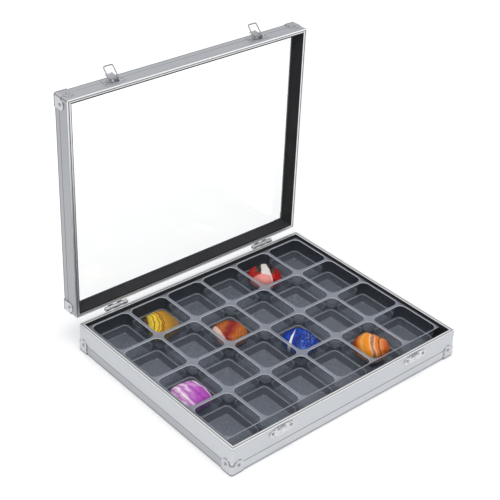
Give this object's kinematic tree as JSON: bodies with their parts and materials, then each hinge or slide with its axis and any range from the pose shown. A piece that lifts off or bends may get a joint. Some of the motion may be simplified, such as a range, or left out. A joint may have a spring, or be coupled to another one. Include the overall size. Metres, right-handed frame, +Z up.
{
  "type": "mineral specimen box",
  "caption": "Shallow aluminium display case with a hinged glass lid standing open, draw latches, a loose tray of square cells and polished stones.",
  "frame": {"origin": "on the surface the case stands on, at the middle of the open case's bounding box", "axes": "+Z up, -Y towards the front with the catches, +X to the right along the case's length"},
  "size_m": [0.3488, 0.3142, 0.3369],
  "materials": {
    "aluminium_rail": "satin",
    "cap_metal": "satin",
    "rivet_metal": "satin",
    "hinge_metal": "satin",
    "latch_metal": "polished",
    "panel_board": "matte",
    "lining": "matte",
    "pane_glass": "gloss",
    "tray_plastic": "gloss",
    "stone_yellow_banded": "polished",
    "stone_red_white": "polished",
    "stone_carnelian": "polished",
    "stone_blue_veined": "polished",
    "stone_purple_banded": "polished",
    "stone_orange_banded": "polished"
  },
  "bodies": {
    "base": {"base_front_rail": "aluminium_rail", "base_back_rail": "aluminium_rail", "base_left_rail": "aluminium_rail", "base_right_rail": "aluminium_rail", "base_bottom_panel": "panel_board", "base_lining": "lining", "base_corner_cap_front_left": "cap_metal", "base_corner_cap_front_right": "cap_metal", "base_corner_cap_back_left": "cap_metal", "base_corner_cap_back_right": "cap_metal", "base_cap_rivets": "rivet_metal", "catch_left": "latch_metal", "catch_right": "latch_metal", "catch_rivets": "rivet_metal", "hinge_base_leaf_left": "hinge_metal", "hinge_base_leaf_right": "hinge_metal", "hinge_base_rivets": "rivet_metal", "hinge_pin_left": "hinge_metal", "hinge_pin_right": "hinge_metal"},
    "lid": {"lid_front_rail": "aluminium_rail", "lid_back_rail": "aluminium_rail", "lid_left_rail": "aluminium_rail", "lid_right_rail": "aluminium_rail", "lid_glass_pane": "pane_glass", "lid_lining": "lining", "lid_corner_cap_front_left": "cap_metal", "lid_corner_cap_front_right": "cap_metal", "lid_corner_cap_back_left": "cap_metal", "lid_corner_cap_back_right": "cap_metal", "lid_cap_rivets": "rivet_metal", "hinge_lid_leaf_left": "hinge_metal", "hinge_lid_leaf_right": "hinge_metal", "hinge_lid_rivets": "rivet_metal", "latch_plate_left": "latch_metal", "latch_plate_right": "latch_metal", "latch_rivets": "rivet_metal", "latch_pin_left": "latch_metal", "latch_pin_right": "latch_metal"},
    "tray": {"tray": "tray_plastic"},
    "specimen_yellow_banded": {"specimen_yellow_banded": "stone_yellow_banded"},
    "specimen_red_white": {"specimen_red_white": "stone_red_white"},
    "specimen_carnelian": {"specimen_carnelian": "stone_carnelian"},
    "specimen_blue_veined": {"specimen_blue_veined": "stone_blue_veined"},
    "specimen_purple_banded": {"specimen_purple_banded": "stone_purple_banded"},
    "specimen_orange_banded": {"specimen_orange_banded": "stone_orange_banded"},
    "latch_lever_left": {"latch_lever_left": "latch_metal"},
    "latch_bail_left": {"latch_bail_left": "latch_metal"},
    "latch_lever_right": {"latch_lever_right": "latch_metal"},
    "latch_bail_right": {"latch_bail_right": "latch_metal"}
  },
  "joints": [
    {"name": "lid_hinge", "type": "hinge", "parent": "base", "child": "lid", "pos_m": [0, 0.13237, 0.0367], "axis": [-1, 0, 0], "range_deg": [-90, 0]},
    {"name": "latch_lever_left_turn", "type": "hinge", "parent": "lid", "child": "latch_lever_left", "pos_m": [-0.1035, 0.14108, 0.3245], "axis": [1, 0, 0], "range_deg": [0, 120]},
    {"name": "latch_bail_left_swing", "type": "hinge", "parent": "latch_lever_left", "child": "latch_bail_left", "pos_m": [-0.1035, 0.14408, 0.3245], "axis": [-1, 0, 0], "range_deg": [-135, 40]},
    {"name": "latch_lever_right_turn", "type": "hinge", "parent": "lid", "child": "latch_lever_right", "pos_m": [0.1035, 0.14108, 0.3245], "axis": [1, 0, 0], "range_deg": [0, 120]},
    {"name": "latch_bail_right_swing", "type": "hinge", "parent": "latch_lever_right", "child": "latch_bail_right", "pos_m": [0.1035, 0.14408, 0.3245], "axis": [-1, 0, 0], "range_deg": [-135, 40]},
    {"name": "tray_lift", "type": "slide", "parent": "base", "child": "tray", "axis": [0, 0, 1], "range_m": [0, 0.06]},
    {"name": "specimen_yellow_banded_lift", "type": "slide", "parent": "tray", "child": "specimen_yellow_banded", "axis": [0, 0, 1], "range_m": [0, 0.05]},
    {"name": "specimen_red_white_lift", "type": "slide", "parent": "tray", "child": "specimen_red_white", "axis": [0, 0, 1], "range_m": [0, 0.05]},
    {"name": "specimen_carnelian_lift", "type": "slide", "parent": "tray", "child": "specimen_carnelian", "axis": [0, 0, 1], "range_m": [0, 0.05]},
    {"name": "specimen_blue_veined_lift", "type": "slide", "parent": "tray", "child": "specimen_blue_veined", "axis": [0, 0, 1], "range_m": [0, 0.05]},
    {"name": "specimen_purple_banded_lift", "type": "slide", "parent": "tray", "child": "specimen_purple_banded", "axis": [0, 0, 1], "range_m": [0, 0.05]},
    {"name": "specimen_orange_banded_lift", "type": "slide", "parent": "tray", "child": "specimen_orange_banded", "axis": [0, 0, 1], "range_m": [0, 0.05]}
  ]
}
